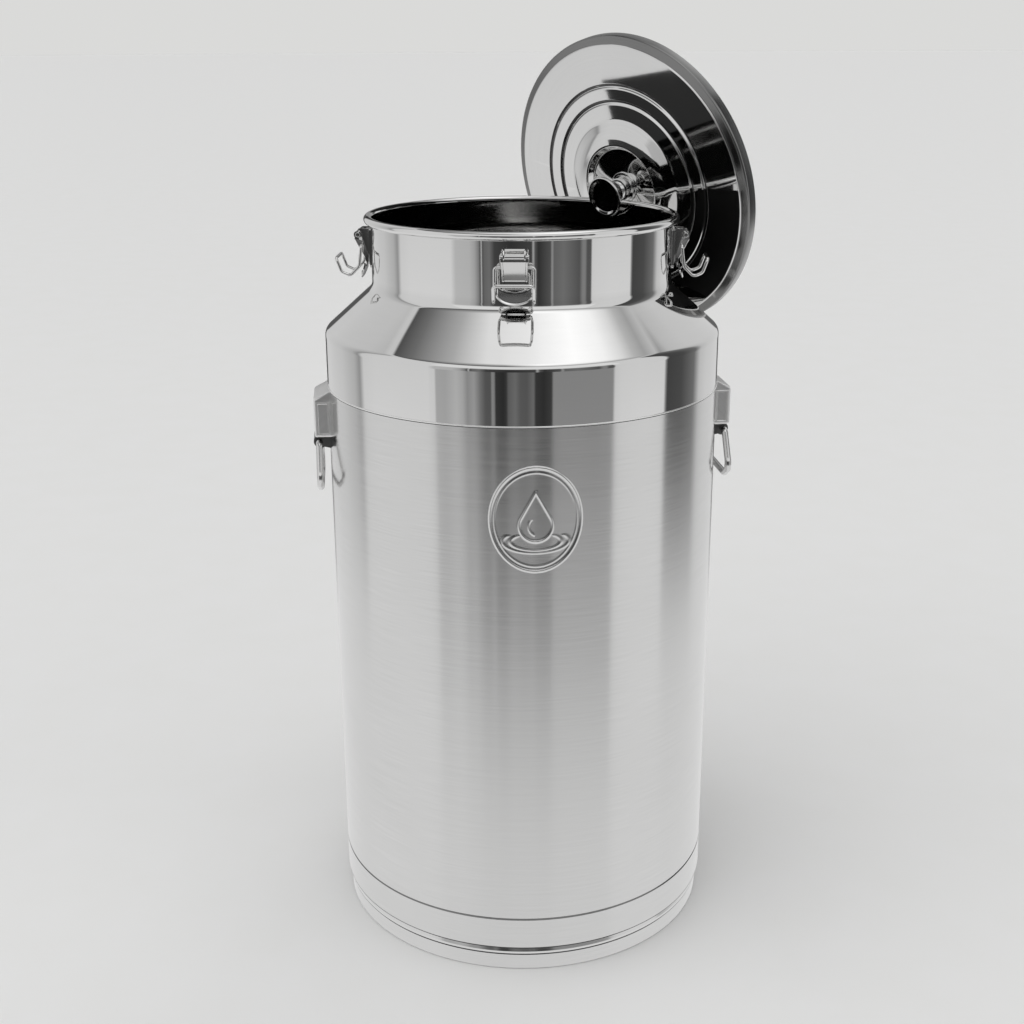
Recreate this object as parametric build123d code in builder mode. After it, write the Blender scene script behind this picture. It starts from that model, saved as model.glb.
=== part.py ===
"""Stainless milk can with four lid latches, two drop-ring handles and a lid hung on the rim.

Millimetres. The origin is the centre of the foot on the floor, +Z is up, and the front is towards -Y.
"""
from build123d import *
import math
import os

os.makedirs("parts", exist_ok=True)

# ---- driving dimensions -------------------------------------------------------------------
body_radius = 160.0
sheet = 1.2

foot_height = 13.8
foot_radius = 157.2
bead_top = 21.0
body_bottom = 21.6
pan_height = 31.0
pan_flange_top = 47.0
groove_height = 49.0
seam_height = 463.0
seam_half_width = 0.6
shoulder_edge_height = 507.0
neck_foot_height = 542.0
neck_joint_height = 551.0

neck_radius = 120.7
rim_height = 595.0
curl_radius = 3.3

latch_azimuths = {"front": -92.3, "right": -2.3, "back": 87.7, "left": 177.7}
pivot_radius = 131.0
pivot_height = 581.5
pin_radius = 1.25
bail_pivot_radius = 127.8
bail_pivot_height = 573.5
wire_radius = 1.25
running_clearance = 0.05

handle_azimuths = {"left": 186.5, "right": 6.5}
cover_radius = 171.5
cover_half_width = 23.5
cover_bottom = 423.5
ring_bar_radius = 2.75
ring_pivot_radius = 168.5
ring_pivot_height = 417.5

lid_radius = 127.5
lid_sheet = 1.0
lid_azimuth = 45.5
lid_lean = 13.5
lid_outward = 141.6
lid_sideways = 9.3
lid_height = 608.2

# ---- directions and planes ----------------------------------------------------------------


def outward(azimuth):
    """Unit vector away from the can's axis."""
    angle = math.radians(azimuth)
    return Vector(math.cos(angle), math.sin(angle), 0)


def sideways(azimuth):
    """Unit vector along the can's wall, to the left of outward."""
    return outward(azimuth + 90)


def side_plane(azimuth, offset=0.0):
    """Plane whose x is outward and whose y is up, a given way along the wall."""
    return Plane(
        origin=sideways(azimuth) * offset,
        x_dir=outward(azimuth),
        z_dir=-sideways(azimuth),
    )


def local_point(azimuth, radius, along, height):
    """Point at a distance from the axis, a way along the wall, and a height."""
    return outward(azimuth) * radius + sideways(azimuth) * along + Vector(0, 0, height)


lean = math.radians(lid_lean)
lid_out = outward(lid_azimuth)
lid_side = sideways(lid_azimuth)
lid_normal = -(lid_out * math.cos(lean) + Vector(0, 0, math.sin(lean)))
lid_centre = lid_out * lid_outward + lid_side * lid_sideways + Vector(0, 0, lid_height)
lid_axis = Axis(lid_centre, lid_normal)
lid_section = Plane(origin=lid_centre, x_dir=lid_side, z_dir=lid_side.cross(lid_normal))


def lid_level(height):
    """Plane across the lid's axis, at a height above its edge plane."""
    return Plane(origin=lid_centre + lid_normal * height, x_dir=lid_side, z_dir=lid_normal)


def sheet_profile(plane, points, bend_radii, thickness):
    """Bent sheet in section: the outer line with its bends, thickened to its left."""
    with BuildSketch(plane) as profile:
        with BuildLine():
            FilletPolyline(*points, radius=bend_radii)
            offset(amount=thickness, side=Side.LEFT)
        make_face()
    return profile.sketch


def finish(piece, name):
    """Label a finished piece and write it."""
    piece.label = name
    export_step(piece, f"parts/{name}.step")


# ---- base ---------------------------------------------------------------------------------
inner_radius = body_radius - sheet
lap_radius = 156.4
foot_inner_radius = 149.0

with BuildPart() as foot_ring:
    with BuildSketch(Plane.XZ):
        with BuildLine():
            Polyline(
                (foot_inner_radius, 0),
                (foot_radius - 0.8, 0),
                (foot_radius, 0.8),
                (foot_radius, foot_height - 0.6),
                (lap_radius, foot_height),
                (lap_radius, bead_top - 1),
                (lap_radius - sheet, bead_top - 1),
                (lap_radius - sheet, sheet),
                (foot_inner_radius, sheet),
                close=True,
            )
        make_face()
    revolve(axis=Axis.Z)
finish(foot_ring.part, "foot_ring")

with BuildPart() as base_bead:
    with BuildSketch(Plane.XZ):
        with BuildLine():
            ThreePointArc(
                (157.5, foot_height + 0.7),
                (158.9, (foot_height + bead_top) / 2 + 0.3),
                (157.5, bead_top),
            )
            Polyline(
                (157.5, bead_top),
                (inner_radius, bead_top + 0.3),
                (inner_radius, pan_height - 1),
                (inner_radius - sheet, pan_height - 1),
                (inner_radius - sheet, bead_top + 1.2),
                (lap_radius, bead_top + 0.4),
                (lap_radius, foot_height + 0.7),
                (157.5, foot_height + 0.7),
            )
        make_face()
    revolve(axis=Axis.Z)
finish(base_bead.part, "base_bead")

with BuildPart() as bottom_pan:
    pan_line = [(0, pan_height), (inner_radius, pan_height), (inner_radius, pan_flange_top)]
    revolve(sheet_profile(Plane.XZ, pan_line, 5, sheet), axis=Axis.Z)
finish(bottom_pan.part, "bottom_pan")

# ---- body, seam, shoulder and neck --------------------------------------------------------
with BuildPart() as body_shell:
    with BuildSketch(Plane.XZ):
        with BuildLine():
            Polyline(
                (inner_radius, body_bottom),
                (body_radius - 0.7, body_bottom),
                (body_radius, body_bottom + 0.7),
                (body_radius, groove_height - 0.6),
                (body_radius - 0.5, groove_height),
                (body_radius, groove_height + 0.6),
                (body_radius, seam_height - seam_half_width),
                (inner_radius, seam_height - seam_half_width),
                close=True,
            )
        make_face()
    revolve(axis=Axis.Z)
finish(body_shell.part, "body_shell")

with BuildPart() as seam_weld:
    seam_bottom = seam_height - seam_half_width
    seam_top = seam_height + seam_half_width
    with BuildSketch(Plane.XZ):
        with BuildLine():
            ThreePointArc((body_radius, seam_bottom), (body_radius + 0.6, seam_height), (body_radius, seam_top))
            Polyline(
                (body_radius, seam_top),
                (inner_radius, seam_top),
                (inner_radius, seam_bottom),
                (body_radius, seam_bottom),
            )
        make_face()
    revolve(axis=Axis.Z)
finish(seam_weld.part, "seam_weld")

with BuildPart() as shoulder_shell:
    shoulder_line = [
        (body_radius, seam_height + seam_half_width),
        (body_radius, shoulder_edge_height),
        (neck_radius, neck_foot_height),
        (neck_radius, neck_joint_height),
    ]
    revolve(sheet_profile(Plane.XZ, shoulder_line, [7, 9], sheet), axis=Axis.Z)
finish(shoulder_shell.part, "shoulder_shell")

with BuildPart() as neck_ring:
    neck_inner_radius = neck_radius - sheet
    curl_centre = neck_inner_radius + curl_radius
    curl_sweep = -290
    curl_end = math.radians(180 + curl_sweep)
    curl_inner = curl_radius - sheet
    with BuildSketch(Plane.XZ):
        with BuildLine():
            Polyline(
                (neck_inner_radius, rim_height),
                (neck_inner_radius, neck_joint_height),
                (neck_radius, neck_joint_height),
                (neck_radius, rim_height),
            )
            CenterArc((curl_centre, rim_height), curl_inner, 180, curl_sweep)
            Line(
                (curl_centre + curl_inner * math.cos(curl_end), rim_height + curl_inner * math.sin(curl_end)),
                (curl_centre + curl_radius * math.cos(curl_end), rim_height + curl_radius * math.sin(curl_end)),
            )
            CenterArc((curl_centre, rim_height), curl_radius, 180, curl_sweep)
        make_face()
    revolve(axis=Axis.Z)
finish(neck_ring.part, "neck_ring")

# ---- handles ------------------------------------------------------------------------------
cover_top = 461.4
cover_slope_foot = 455.0
cover_inner_line = 150.0
keeper_half_width = 13.0
ring_top_half = 20.0
ring_low_half = 38.0
ring_low_height = 390.5
ring_bottom_half = 24.0
ring_bottom = 381.5

for side, azimuth in handle_azimuths.items():
    with BuildPart() as handle_cover:
        with BuildSketch(side_plane(azimuth)):
            with BuildLine():
                Polyline(
                    (cover_inner_line, cover_bottom),
                    (cover_radius, cover_bottom),
                    (cover_radius, cover_slope_foot),
                    (body_radius + 0.3, cover_top),
                    (cover_inner_line, cover_top),
                    close=True,
                )
            make_face()
        extrude(amount=cover_half_width, both=True)
        outer_wall = handle_cover.faces().sort_by(Axis((0, 0, 0), outward(azimuth)))[-1]
        fillet(outer_wall.edges().filter_by(Axis.Z), 2.5)
        with BuildSketch(side_plane(azimuth)):
            with BuildLine():
                Polyline(
                    (cover_inner_line, cover_bottom),
                    (cover_radius - sheet, cover_bottom),
                    (cover_radius - sheet, cover_slope_foot - 0.5),
                    (body_radius + 0.3, cover_top - 1.7),
                    (cover_inner_line, cover_top - 1.7),
                    close=True,
                )
            make_face()
        extrude(amount=cover_half_width - sheet, both=True, mode=Mode.SUBTRACT)
        for end in (-1, 1):
            with BuildSketch(side_plane(azimuth, end * cover_half_width)):
                with Locations((164.8, 439)):
                    RectangleRounded(8, 25, 1.5)
            extrude(amount=0.5, both=True, mode=Mode.SUBTRACT)
        with BuildSketch(Plane.XY.offset(cover_bottom)):
            Circle(body_radius)
        extrude(amount=cover_top - cover_bottom, mode=Mode.SUBTRACT)
    finish(handle_cover.part, f"handle_cover_{side}")

    with BuildPart() as handle_keeper:
        with BuildSketch(side_plane(azimuth)):
            with BuildLine():
                Polyline(
                    (cover_inner_line, ring_pivot_height + 8),
                    (cover_inner_line, ring_pivot_height - 8),
                    (ring_pivot_radius - 4, ring_pivot_height - 4.6),
                )
                ThreePointArc(
                    (ring_pivot_radius - 4, ring_pivot_height - 4.6),
                    (ring_pivot_radius + 4.6, ring_pivot_height),
                    (ring_pivot_radius - 4, ring_pivot_height + 4.6),
                )
                Line(
                    (ring_pivot_radius - 4, ring_pivot_height + 4.6),
                    (cover_inner_line, ring_pivot_height + 8),
                )
            make_face()
            with Locations((ring_pivot_radius, ring_pivot_height)):
                Circle(ring_bar_radius + running_clearance, mode=Mode.SUBTRACT)
        extrude(amount=keeper_half_width, both=True)
        with BuildSketch(Plane.XY.offset(ring_pivot_height - 10)):
            Circle(body_radius)
        extrude(amount=20, mode=Mode.SUBTRACT)
    finish(handle_keeper.part, f"handle_keeper_{side}")

    with BuildPart() as handle_ring:
        ring_outline = [
            (ring_top_half, ring_pivot_height),
            (ring_low_half, ring_low_height),
            (ring_bottom_half, ring_bottom),
            (-ring_bottom_half, ring_bottom),
            (-ring_low_half, ring_low_height),
            (-ring_top_half, ring_pivot_height),
        ]
        corner_points = [local_point(azimuth, ring_pivot_radius, along, up) for along, up in ring_outline]
        with BuildLine() as ring_line:
            FilletPolyline(*corner_points, radius=[5, 7, 12, 12, 7, 5], close=True)
        with BuildSketch(Plane(origin=ring_line.line @ 0, z_dir=ring_line.line % 0)):
            Circle(ring_bar_radius)
        sweep(path=ring_line.line)
    finish(handle_ring.part, f"handle_ring_{side}")

# ---- latches ------------------------------------------------------------------------------
plate_half_width = 10.0
plate_bottom = 555.0
plate_top = 586.4
barrel_radius = 2.3
barrel_half_width = 7.3
ear_offset = 7.7
ear_thickness = 0.8
flange_offset = 9.45
flange_thickness = 0.9
pin_head_radius = 2.0
pin_head_start = 10.0
pin_half_length = 10.8
hole_radius = pin_radius + running_clearance
tab_half_width = 13.6
tab_bottom = 546.6
bail_end_offset = 8.6
arm_offset = 14.6


def front_plane(azimuth, radius):
    """Upright plane facing outward, x along the wall and y up."""
    return Plane(origin=outward(azimuth) * radius, x_dir=sideways(azimuth), z_dir=outward(azimuth))


for side, azimuth in latch_azimuths.items():
    with BuildPart() as latch_base:
        with BuildSketch(side_plane(azimuth)):
            with Locations((neck_radius, (plate_bottom + plate_top) / 2)):
                Rectangle(2 * sheet, plate_top - plate_bottom)
        extrude(amount=plate_half_width, both=True)
        with BuildSketch(side_plane(azimuth)):
            with BuildLine():
                Polyline(
                    (neck_radius, plate_top),
                    (pivot_radius - 0.4, pivot_height + barrel_radius),
                    (pivot_radius - 1.6, pivot_height + 1.4),
                    (neck_radius, plate_top - 1.2),
                    close=True,
                )
            make_face()
            with Locations((pivot_radius, pivot_height)):
                Circle(barrel_radius)
                Circle(hole_radius, mode=Mode.SUBTRACT)
        extrude(amount=barrel_half_width, both=True)
        for end in (-1, 1):
            with BuildSketch(side_plane(azimuth, end * ear_offset)):
                with BuildLine():
                    Polyline(
                        (neck_radius, plate_top),
                        (129.8, plate_top),
                        (133.2, 583.4),
                        (133.2, 581.0),
                        (131.9, 578.9),
                        (123.4, 562.0),
                        (neck_radius, 556.0),
                        close=True,
                    )
                make_face()
                with Locations((pivot_radius, pivot_height)):
                    Circle(hole_radius, mode=Mode.SUBTRACT)
            extrude(amount=ear_thickness / 2, both=True)
        with BuildSketch(Plane.XY.offset(plate_bottom)):
            Circle(neck_radius)
        extrude(amount=plate_top - plate_bottom, mode=Mode.SUBTRACT)
    finish(latch_base.part, f"latch_base_{side}")

    with BuildPart() as latch_pin:
        with BuildSketch(side_plane(azimuth)):
            with Locations((pivot_radius, pivot_height)):
                Circle(pin_radius)
        extrude(amount=pin_half_length, both=True)
        for end in (-1, 1):
            with BuildSketch(side_plane(azimuth, end * (pin_head_start + pin_half_length) / 2)):
                with Locations((pivot_radius, pivot_height)):
                    Circle(pin_head_radius)
            extrude(amount=(pin_half_length - pin_head_start) / 2, both=True)
    finish(latch_pin.part, f"latch_pin_{side}")

    with BuildPart() as latch_lever:
        with BuildSketch(front_plane(azimuth, neck_radius)):
            with BuildLine():
                Polyline((-9.5, 558.4), (9.5, 558.4), (tab_half_width, 554.5))
                ThreePointArc((tab_half_width, 554.5), (0, tab_bottom), (-tab_half_width, 554.5))
                Line((-tab_half_width, 554.5), (-9.5, 558.4))
            make_face()
        extrude(amount=20)
        with BuildSketch(side_plane(azimuth)):
            with BuildLine():
                Polyline((124.6, 560.0), (123.5, 558.8), (131.6, 545.0), (133.0, 545.0), close=True)
            make_face()
        extrude(amount=tab_half_width + 1, both=True, mode=Mode.INTERSECT)
        with BuildSketch(side_plane(azimuth)):
            with BuildLine():
                Polyline(
                    (134.0, 578.5),
                    (126.3, 563.5),
                    (124.9, 558.0),
                    (123.8, 558.2),
                    (125.3, 563.8),
                    (133.1, 579.0),
                    close=True,
                )
            make_face()
        extrude(amount=flange_offset - 1.1, both=True)
        for end in (-1, 1):
            with BuildSketch(side_plane(azimuth, end * flange_offset)):
                with BuildLine():
                    Polyline(
                        (128.0, pivot_height),
                        (134.0, pivot_height),
                        (134.0, 578.5),
                        (126.3, 563.5),
                        (124.2, 564.0),
                        (124.4, 572.5),
                        close=True,
                    )
                make_face()
                with Locations((pivot_radius, pivot_height)):
                    Circle(3.2)
                    Circle(hole_radius, mode=Mode.SUBTRACT)
                with Locations((bail_pivot_radius, bail_pivot_height)):
                    Circle(wire_radius + running_clearance, mode=Mode.SUBTRACT)
            extrude(amount=flange_thickness / 2, both=True)
            with BuildSketch(side_plane(azimuth, end * (flange_offset - 0.8))):
                with BuildLine():
                    Polyline(
                        (134.0, 578.5),
                        (126.3, 563.5),
                        (125.3, 563.8),
                        (133.1, 579.0),
                        close=True,
                    )
                make_face()
            extrude(amount=0.8, both=True)
    finish(latch_lever.part, f"latch_lever_{side}")

    with BuildPart() as latch_bail:
        half_route = [
            (bail_pivot_radius, bail_end_offset, bail_pivot_height),
            (bail_pivot_radius, arm_offset, bail_pivot_height),
            (130.0, arm_offset, 557.0),
            (137.5, arm_offset, 549.5),
            (144.5, arm_offset, 552.5),
            (148.5, arm_offset, 563.5),
        ]
        other_half = [(radius, -along, up) for radius, along, up in reversed(half_route)]
        with BuildLine() as bail_line:
            FilletPolyline(
                *[local_point(azimuth, *place) for place in half_route + other_half],
                radius=[2.2, 5, 4, 4, 3, 3, 4, 4, 5, 2.2],
            )
        with BuildSketch(Plane(origin=bail_line.line @ 0, z_dir=bail_line.line % 0)):
            Circle(wire_radius)
        sweep(path=bail_line.line)
    finish(latch_bail.part, f"latch_bail_{side}")

# ---- lid ----------------------------------------------------------------------------------
floor_height = 5.0
shank_radius = 3.0
shank_hole_radius = 3.1
stem_radius = 4.0
boss_top = 17.5
disc_back = 30.0
disc_radius = 17.5
disc_thickness = 3.2
dish_height = 32.0
washer_thickness = 1.2
nut_height = 5.0
skirt_bottom = -9.0

with BuildPart() as lid_shell:
    lid_line = [
        (lid_radius, skirt_bottom),
        (lid_radius, 0.2),
        (121.0, 1.6),
        (120.0, 2.6),
        (88.6, 3.4),
        (86.6, 1.6),
        (84.6, 3.9),
        (75.0, 3.9),
        (73.0, 1.8),
        (71.0, 3.6),
        (58.0, 4.2),
        (47.0, 9.5),
        (37.5, 11.2),
        (34.0, floor_height),
        (shank_hole_radius, floor_height),
    ]
    lid_bends = [2, 1.2, 1.3, 1.5, 1.5, 1.5, 1.5, 1.5, 1.5, 6, 25, 2.2, 2]
    revolve(sheet_profile(lid_section, lid_line, lid_bends, lid_sheet), axis=lid_axis)
finish(lid_shell.part, "lid_shell")

with BuildPart() as lid_gasket:
    with BuildSketch(lid_section):
        with BuildLine():
            Polyline(
                (119.0, 0.6),
                (120.2, 0.2),
                (121.4, 0.0),
                (lid_radius - lid_sheet, -1.8),
                (lid_radius - lid_sheet, -4.6),
                (119.0, -4.6),
                close=True,
            )
        make_face()
    revolve(axis=lid_axis)
finish(lid_gasket.part, "lid_gasket")

with BuildPart() as knob_boss:
    with BuildSketch(lid_section):
        with BuildLine():
            Polyline(
                (8.35, boss_top),
                (shank_hole_radius, boss_top),
                (shank_hole_radius, floor_height),
                (13.5, floor_height),
                (13.5, 6.1),
                (11.0, 6.4),
                (11.0, 7.6),
                (8.98, 7.6),
            )
            ThreePointArc((8.98, 7.6), (10.0, 12.0), (8.35, boss_top))
        make_face()
    revolve(axis=lid_axis)
finish(knob_boss.part, "knob_boss")

with BuildPart() as knob_stem:
    with BuildSketch(lid_section):
        with BuildLine():
            Polyline(
                (0, skirt_bottom + 5),
                (shank_radius, skirt_bottom + 5),
                (shank_radius, boss_top),
                (stem_radius, boss_top),
                (stem_radius, disc_back - 3),
            )
            RadiusArc((stem_radius, disc_back - 3), (7.0, disc_back), 3.0)
            Polyline((7.0, disc_back), (0, disc_back), (0, skirt_bottom + 5))
        make_face()
    revolve(axis=lid_axis)
finish(knob_stem.part, "knob_stem")

with BuildPart() as knob_disc:
    with BuildSketch(lid_section):
        with BuildLine():
            Line((0, disc_back), (disc_radius - 1.2, disc_back))
            ThreePointArc(
                (disc_radius - 1.2, disc_back),
                (disc_radius, disc_back + disc_thickness / 2),
                (disc_radius - 1.2, disc_back + disc_thickness),
            )
            Polyline(
                (disc_radius - 1.2, disc_back + disc_thickness),
                (disc_radius - 2.4, disc_back + disc_thickness),
                (disc_radius - 5.0, dish_height),
                (0, dish_height),
                (0, disc_back),
            )
        make_face()
    revolve(axis=lid_axis)
finish(knob_disc.part, "knob_disc")

with BuildPart() as knob_washer:
    with BuildSketch(lid_level(floor_height - lid_sheet)):
        Circle(9)
        Circle(shank_hole_radius, mode=Mode.SUBTRACT)
    extrude(amount=-washer_thickness)
finish(knob_washer.part, "knob_washer")

with BuildPart() as knob_nut:
    with BuildSketch(lid_level(floor_height - lid_sheet - washer_thickness)):
        RegularPolygon(5.0, 6, major_radius=False)
        Circle(shank_radius, mode=Mode.SUBTRACT)
    extrude(amount=-nut_height)
finish(knob_nut.part, "knob_nut")
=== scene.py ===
"""Looks of the stainless milk can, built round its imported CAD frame.

Sizes are in millimetres, and MM turns them into the frame's metres. A turned piece's outline
holds points of radius and height. A latch or handle point is its distance from the can's axis,
its way along the wall, and its height.
"""

import math

import bmesh
import bpy
from mathutils import Matrix, Vector


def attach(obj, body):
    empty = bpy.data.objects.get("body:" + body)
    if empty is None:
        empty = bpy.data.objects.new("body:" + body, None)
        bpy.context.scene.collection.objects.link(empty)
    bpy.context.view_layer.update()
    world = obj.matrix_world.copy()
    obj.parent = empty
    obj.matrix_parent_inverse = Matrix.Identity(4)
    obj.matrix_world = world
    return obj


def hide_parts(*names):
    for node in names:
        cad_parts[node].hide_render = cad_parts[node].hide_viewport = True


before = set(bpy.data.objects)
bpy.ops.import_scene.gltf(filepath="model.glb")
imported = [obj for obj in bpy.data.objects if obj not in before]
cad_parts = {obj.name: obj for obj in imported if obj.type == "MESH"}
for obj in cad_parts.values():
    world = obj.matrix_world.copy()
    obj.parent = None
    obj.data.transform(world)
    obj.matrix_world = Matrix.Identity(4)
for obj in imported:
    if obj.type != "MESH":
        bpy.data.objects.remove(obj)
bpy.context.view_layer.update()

MM = 0.001

# ---- driving sizes, as in the CAD ---------------------------------------------------------
body_radius = 160.0
sheet = 1.2
foot_radius = 157.2
foot_inner_radius = 149.0
foot_height = 13.8
bead_top = 21.0
body_bottom = 21.6
groove_height = 49.0
seam_height = 463.0
seam_half_width = 0.6
shoulder_edge_height = 507.0
neck_foot_height = 542.0
neck_joint_height = 551.0
neck_radius = 120.7
rim_height = 595.0
curl_radius = 3.3

latch_azimuths = {"front": -92.3, "right": -2.3, "back": 87.7, "left": 177.7}
pivot_radius = 131.0
pivot_height = 581.5
pin_radius = 1.25
wire_radius = 1.25

handle_azimuths = {"left": 186.5, "right": 6.5}
cover_radius = 171.5
cover_half_width = 23.5
cover_bottom = 423.5
cover_slope_foot = 455.0
cover_top = 461.4
ring_bar_radius = 2.75
ring_pivot_radius = 168.5
ring_pivot_height = 417.5
ring_low_height = 390.5
ring_bottom = 381.5

lid_radius = 127.5
lid_sheet = 1.0
lid_azimuth = 45.5
lid_lean = 13.5
lid_outward = 141.6
lid_sideways = 9.3
lid_height = 608.2
lid_floor_height = 5.0
shank_radius = 3.0
shank_hole_radius = 3.1
stem_radius = 4.0
boss_top = 17.5
disc_back = 30.0
disc_radius = 17.5

emblem_azimuth = -86.4
emblem_height = 392.0
emblem_half_width = 36.5
emblem_half_height = 43.0


# ---- places -------------------------------------------------------------------------------
def wall_place(azimuth):
    """Turns (distance from the axis, along the wall, height) to the can's frame."""
    return Matrix.Rotation(math.radians(azimuth), 4, "Z")


def lid_place():
    """Turns the lid's own frame, its axis along z from the edge plane, to the can's frame."""
    turn = wall_place(lid_azimuth)
    out = turn @ Vector((1, 0, 0))
    side = turn @ Vector((0, 1, 0))
    lean = math.radians(lid_lean)
    axis = -(out * math.cos(lean) + Vector((0, 0, math.sin(lean))))
    centre = (out * lid_outward + side * lid_sideways + Vector((0, 0, lid_height))) * MM
    place = Matrix((side, axis.cross(side), axis)).transposed().to_4x4()
    place.translation = centre
    return place


# ---- mesh tools ---------------------------------------------------------------------------
def bend(points, radii, closed=False, step=9.0):
    """Points along a line whose corners are rounded. A radius of 0 keeps a corner sharp."""
    line = []
    last = len(points) - 1
    for i, corner in enumerate(points):
        corner = Vector(corner)
        radius = radii[i] if closed or 0 < i < last else 0
        if not radius:
            line.append(corner)
            continue
        back = (Vector(points[i - 1]) - corner).normalized()
        ahead = (Vector(points[(i + 1) % len(points)]) - corner).normalized()
        inside = back.angle(ahead)
        reach = radius / math.tan(inside / 2)
        guard = min(0.12 * radius, 0.4)
        centre = corner + (back + ahead).normalized() * (radius / math.sin(inside / 2))
        start = corner + back * reach - centre
        end = corner + ahead * reach - centre
        turn = math.pi - inside
        steps = max(2, math.ceil(math.degrees(turn) / step))
        line.append(corner + back * (reach + guard))
        for k in range(steps + 1):
            share = k / steps
            line.append(
                centre
                + start * (math.sin((1 - share) * turn) / math.sin(turn))
                + end * (math.sin(share * turn) / math.sin(turn))
            )
        line.append(corner + ahead * (reach + guard))
    return line


def section(points, radii=None, closed=False):
    """The same for an outline of (radius, height) pairs."""
    lifted = [(radius, 0, height) for radius, height in points]
    return bend(lifted, radii or [0] * len(points), closed)


def thicken(line, thickness):
    """Closed outline of a bent sheet: its outer line, then its inner line back."""
    inner = []
    for i, point in enumerate(line):
        before = point - line[i - 1] if i else line[1] - point
        after = line[i + 1] - point if i < len(line) - 1 else before
        along = (before.normalized() + after.normalized()).normalized()
        inner.append(point + Vector((-along.z, 0, along.x)) * thickness)
    return line + inner[::-1]


def skin(shape, rings, closed_ring=True, closed_run=False):
    """Adds quads between neighbouring rings of points, in millimetres."""
    rows = [[shape.verts.new(point * MM) for point in ring] for ring in rings]
    runs = list(zip(rows, rows[1:])) + ([(rows[-1], rows[0])] if closed_run else [])
    for row, after in runs:
        count = len(row) if closed_ring else len(row) - 1
        for k in range(count):
            j = (k + 1) % len(row)
            shape.faces.new((row[k], after[k], after[j], row[j]))
    return rows


def turned(shape, outline, sides=192, place=None):
    """Adds a closed outline of (radius, 0, height) points turned about the z axis."""
    turns = [Matrix.Rotation(2 * math.pi * i / sides, 3, "Z") for i in range(sides)]
    rows = skin(shape, [[turn @ point for point in outline] for turn in turns], closed_run=True)
    new = [vert for row in rows for vert in row]
    if place:
        bmesh.ops.transform(shape, matrix=place, verts=new)
    bmesh.ops.remove_doubles(shape, verts=new, dist=1e-7)


def wire(shape, route, radius, closed=False, sides=20):
    """Adds a round bar along a route, with domed ends unless it is closed."""
    count = len(route)
    ways = []
    for i in range(count):
        before = route[i - 1] if closed or i else route[0]
        after = route[(i + 1) % count] if closed or i < count - 1 else route[-1]
        ways.append((after - before).normalized())
    across = ways[0].orthogonal().normalized()
    stations = []
    for point, way in zip(route, ways):
        across = (across - way * across.dot(way)).normalized()
        stations.append((point, way, across, 1.0))
    if not closed:
        start, end = stations[0], stations[-1]
        for angle in (30, 60, 89.9):
            reach = radius * math.sin(math.radians(angle))
            size = math.cos(math.radians(angle))
            stations.insert(0, (start[0] - start[1] * reach, start[1], start[2], size))
            stations.append((end[0] + end[1] * reach, end[1], end[2], size))
    rings = []
    for point, way, across, size in stations:
        other = way.cross(across)
        angles = [2 * math.pi * k / sides for k in range(sides)]
        rings.append(
            [point + (across * math.cos(a) + other * math.sin(a)) * (radius * size) for a in angles]
        )
    rows = skin(shape, rings, closed_run=closed)
    if not closed:
        shape.faces.new(rows[0])
        shape.faces.new(rows[-1])


def slab(shape, outline, thickness, edge=0.2):
    """Adds a flat plate: an outline of points and the vector of its thickness, edges eased."""
    outline = [Vector(point) for point in outline]
    offset = Vector(thickness)
    rows = skin(shape, [outline, [point + offset for point in outline]])
    ends = [shape.faces.new(rows[0]), shape.faces.new(rows[1])]
    edges = {e for face in ends for e in face.edges}
    bmesh.ops.bevel(
        shape, geom=list(edges), offset=edge * MM, segments=2, affect="EDGES", profile=0.5
    )


def pressed(shape, grid, thickness):
    """Adds a formed sheet from a grid of points, closed with a back and rims."""
    rows = len(grid)
    columns = len(grid[0])
    back = []
    for i in range(rows):
        line = []
        for j in range(columns):
            down = grid[min(i + 1, rows - 1)][j] - grid[max(i - 1, 0)][j]
            across = grid[i][min(j + 1, columns - 1)] - grid[i][max(j - 1, 0)]
            line.append(grid[i][j] + across.cross(down).normalized() * thickness)
        back.append(line)
    rings = []
    for front_row, back_row in zip(grid, back):
        rings.append(list(front_row) + back_row[::-1])
    made = skin(shape, rings)
    for row in (made[0], made[-1]):
        for k in range(columns - 1):
            shape.faces.new((row[k], row[k + 1], row[2 * columns - 2 - k], row[2 * columns - 1 - k]))


def circle(radius, centre, sides=36):
    """Points round (distance, height) as an outline at along = 0."""
    angles = [2 * math.pi * k / sides for k in range(sides)]
    return [
        Vector((centre[0] + radius * math.cos(a), 0, centre[1] + radius * math.sin(a)))
        for a in angles
    ]


def shifted(points, along):
    return [Vector((point[0], along, point[2])) for point in points]


def piece(name, shape, body, material, stands_for, place=None, crease=32.0, bands=(),
          others=()):
    """Turns a mesh in progress into a shown piece that rides on a body for CAD nodes.

    bands are (radius range, height range, material) for faces that have another finish, here mostly
    dark steel that paints shade in grooves and gaps, and others are the finishes of faces that already
    hold their index.
    """
    for index, (radii, heights, _) in enumerate(bands, 1 + len(others)):
        for face in shape.faces:
            centre = face.calc_center_median()
            radius = math.hypot(centre.x, centre.y) / MM
            if radii[0] < radius < radii[1] and heights[0] < centre.z / MM < heights[1]:
                face.material_index = index
    if place:
        bmesh.ops.transform(shape, matrix=place, verts=shape.verts)
    bmesh.ops.recalc_face_normals(shape, faces=shape.faces)
    mesh = bpy.data.meshes.new(name)
    shape.to_mesh(mesh)
    shape.free()
    mesh.polygons.foreach_set("use_smooth", [True] * len(mesh.polygons))
    mesh.set_sharp_from_angle(angle=math.radians(crease))
    for finish in [material, *others] + [band[-1] for band in bands]:
        mesh.materials.append(finish)
    made = bpy.data.objects.new(name, mesh)
    bpy.context.scene.collection.objects.link(made)
    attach(made, body)
    if stands_for:
        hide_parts(*stands_for)
    return made


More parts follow.
